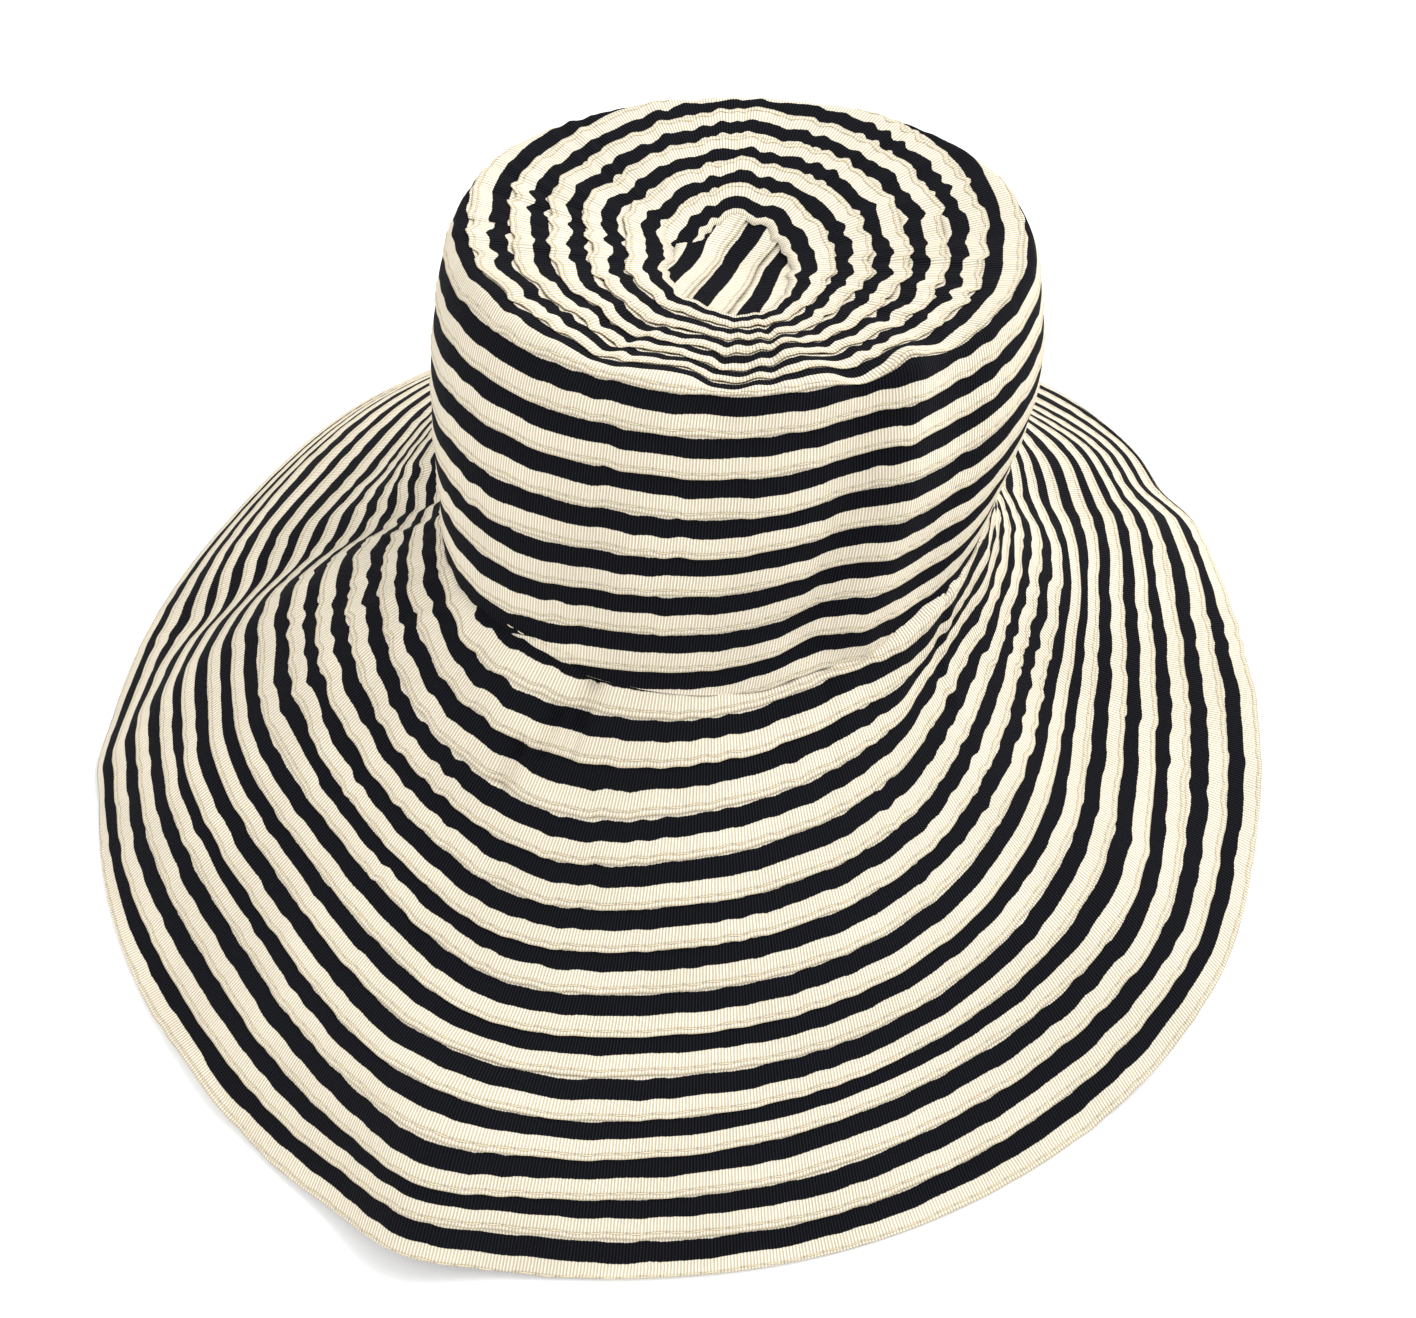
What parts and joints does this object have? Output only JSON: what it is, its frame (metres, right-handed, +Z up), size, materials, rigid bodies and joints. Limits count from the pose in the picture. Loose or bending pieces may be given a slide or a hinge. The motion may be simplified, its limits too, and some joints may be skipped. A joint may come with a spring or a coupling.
{
  "type": "sun hat",
  "caption": "Soft sun hat with a round sunken crown and a wide drooping brim, sewn from spirals of cream and black striped ribbon.",
  "frame": {"origin": "on the surface the hat rests on, under the middle of the outline of its brim", "axes": "+Z up out of the surface, -Y towards the front of the hat, +X to the viewer's right when the front is faced"},
  "size_m": [0.4344, 0.457, 0.1753],
  "materials": {
    "striped_ribbon": "matt ribbed grosgrain ribbon, cream with one black stripe"
  },
  "bodies": {
    "root": {"crown_tip": "striped_ribbon", "crown_side": "striped_ribbon", "brim": "striped_ribbon", "tip_strip_1": "striped_ribbon", "tip_strip_2": "striped_ribbon", "tip_strip_3": "striped_ribbon"}
  },
  "joints": []
}
